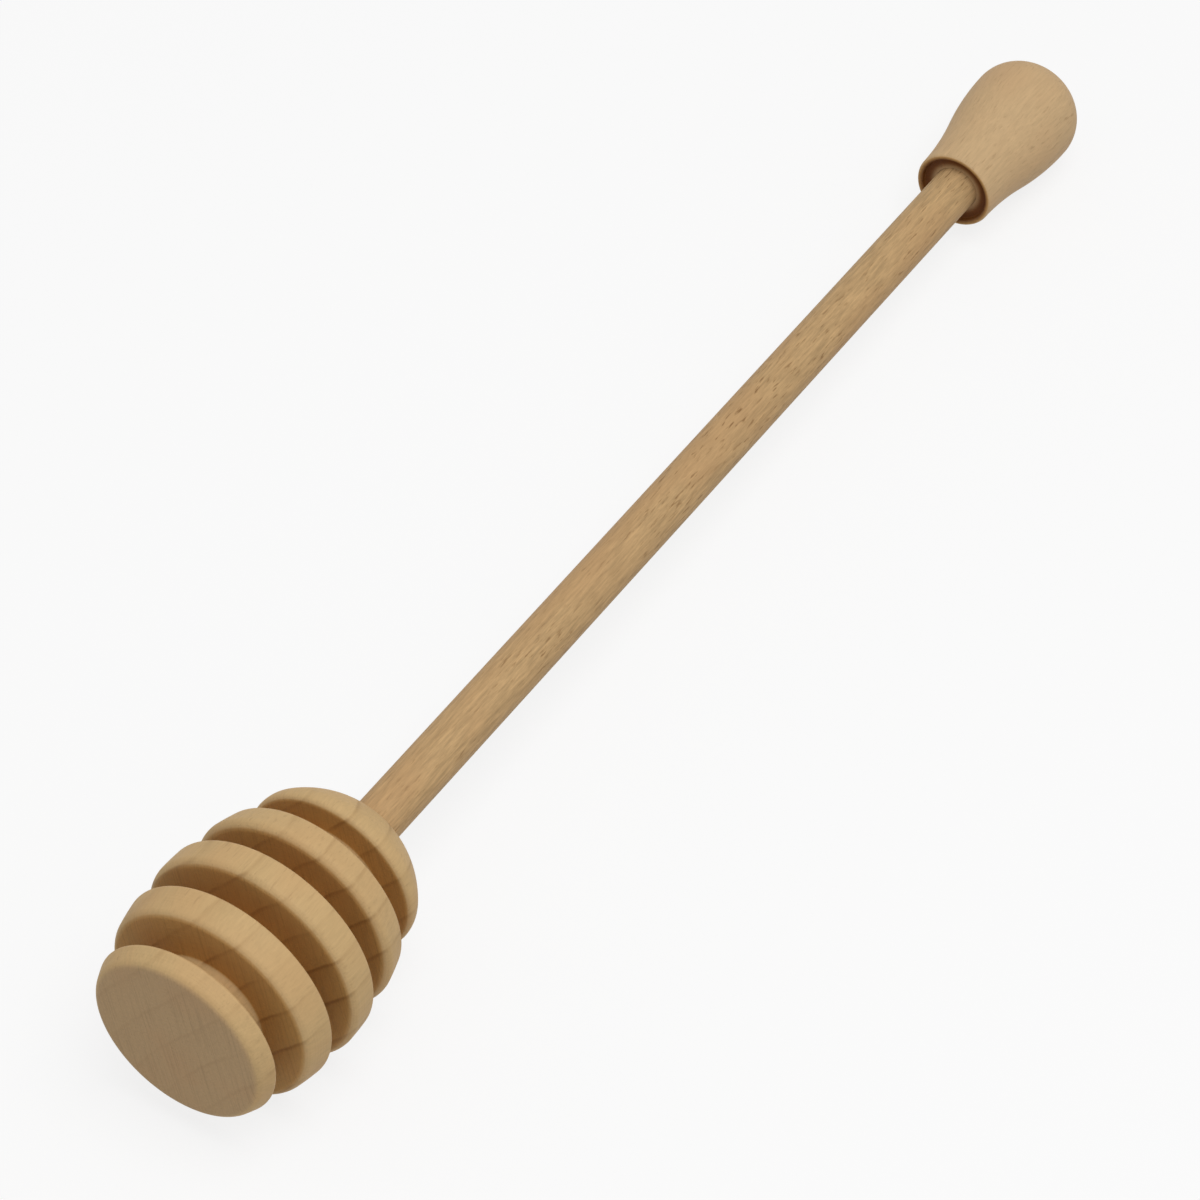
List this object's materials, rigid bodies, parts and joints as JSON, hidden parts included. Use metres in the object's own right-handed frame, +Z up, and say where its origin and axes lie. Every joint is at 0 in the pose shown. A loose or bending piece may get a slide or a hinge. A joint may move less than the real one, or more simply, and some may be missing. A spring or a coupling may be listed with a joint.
{
  "type": "honey dipper",
  "caption": "Wooden honey dipper: a turned head with deep ring grooves and a pear-shaped end knob, glued on a round dowel handle.",
  "frame": {"origin": "on the surface that the dipper lies on, under the middle of its bounding box", "axes": "+X runs along the handle from the head to the knob, +Z is up from the surface; the lathe axis leans 2.15 degrees down towards +X, because the knob is smaller than the head"},
  "size_m": [0.1956, 0.028, 0.028],
  "materials": {
    "head_wood": "turned and sanded, no varnish",
    "dowel_wood": "sanded, no varnish",
    "knob_wood": "turned and sanded, no varnish"
  },
  "bodies": {
    "root": {"dipper_head": "head_wood", "handle_dowel": "dowel_wood", "end_knob": "knob_wood"}
  },
  "joints": []
}
